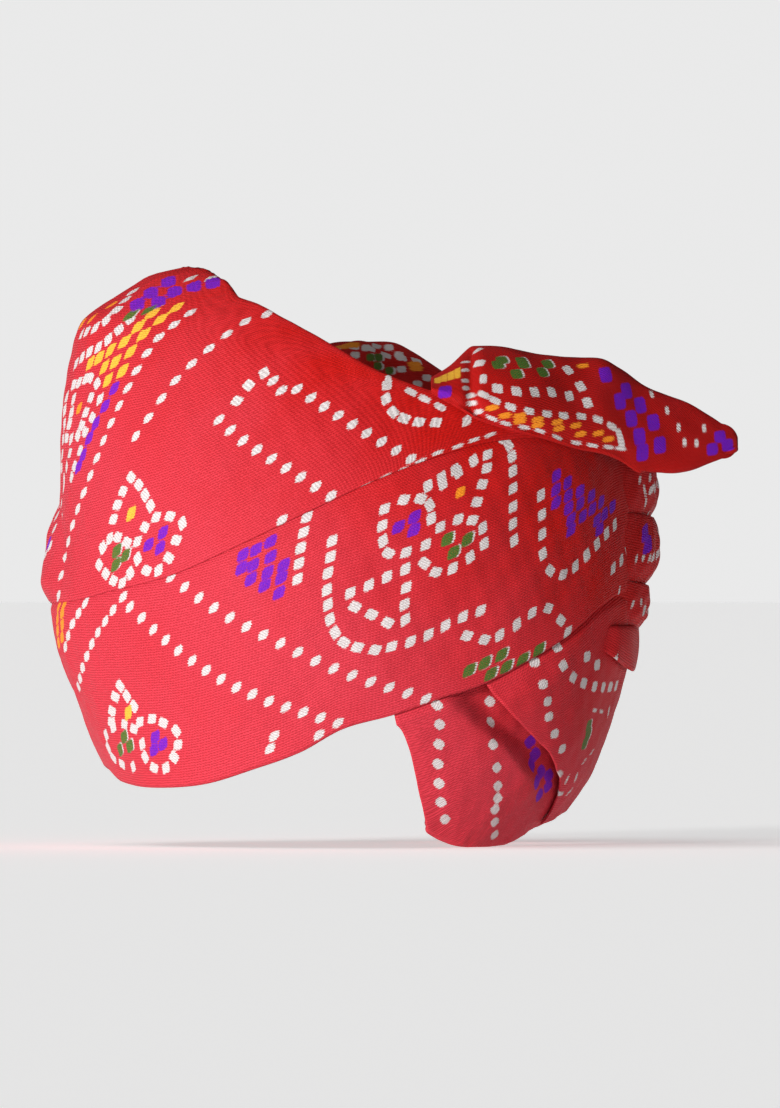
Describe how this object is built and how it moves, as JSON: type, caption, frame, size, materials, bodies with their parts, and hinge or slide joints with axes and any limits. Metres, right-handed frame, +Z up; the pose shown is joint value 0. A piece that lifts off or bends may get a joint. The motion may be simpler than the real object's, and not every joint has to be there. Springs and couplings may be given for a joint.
{
  "type": "tied turban pagri",
  "caption": "Ready-tied cotton turban: wound wraps with a tall front peak, a hanging nape, gathers at the back and a folded tail over an open head hollow.",
  "frame": {"origin": "the middle of the head opening, level with the notches over the ears", "axes": "+Z up through the crown, -Y towards the forehead, +X towards the wearer's left"},
  "size_m": [0.191, 0.2709, 0.2232],
  "materials": {
    "printed_cotton": "fine ribbed red cotton with a woven bandhani print in off-white, purple, green and yellow, soft satin sheen",
    "crown_cotton": "the same red printed cotton, in the shade of the crown"
  },
  "bodies": {
    "root": {"upper_wrap": "printed_cotton", "far_wrap": "printed_cotton", "lower_wrap": "printed_cotton", "nape_wrap": "printed_cotton", "nape_fold": "printed_cotton", "back_pleat_1": "printed_cotton", "back_pleat_2": "printed_cotton", "back_pleat_3": "printed_cotton", "back_panel": "printed_cotton", "crown_cloth": "crown_cotton", "tail_flap": "printed_cotton"}
  },
  "joints": []
}
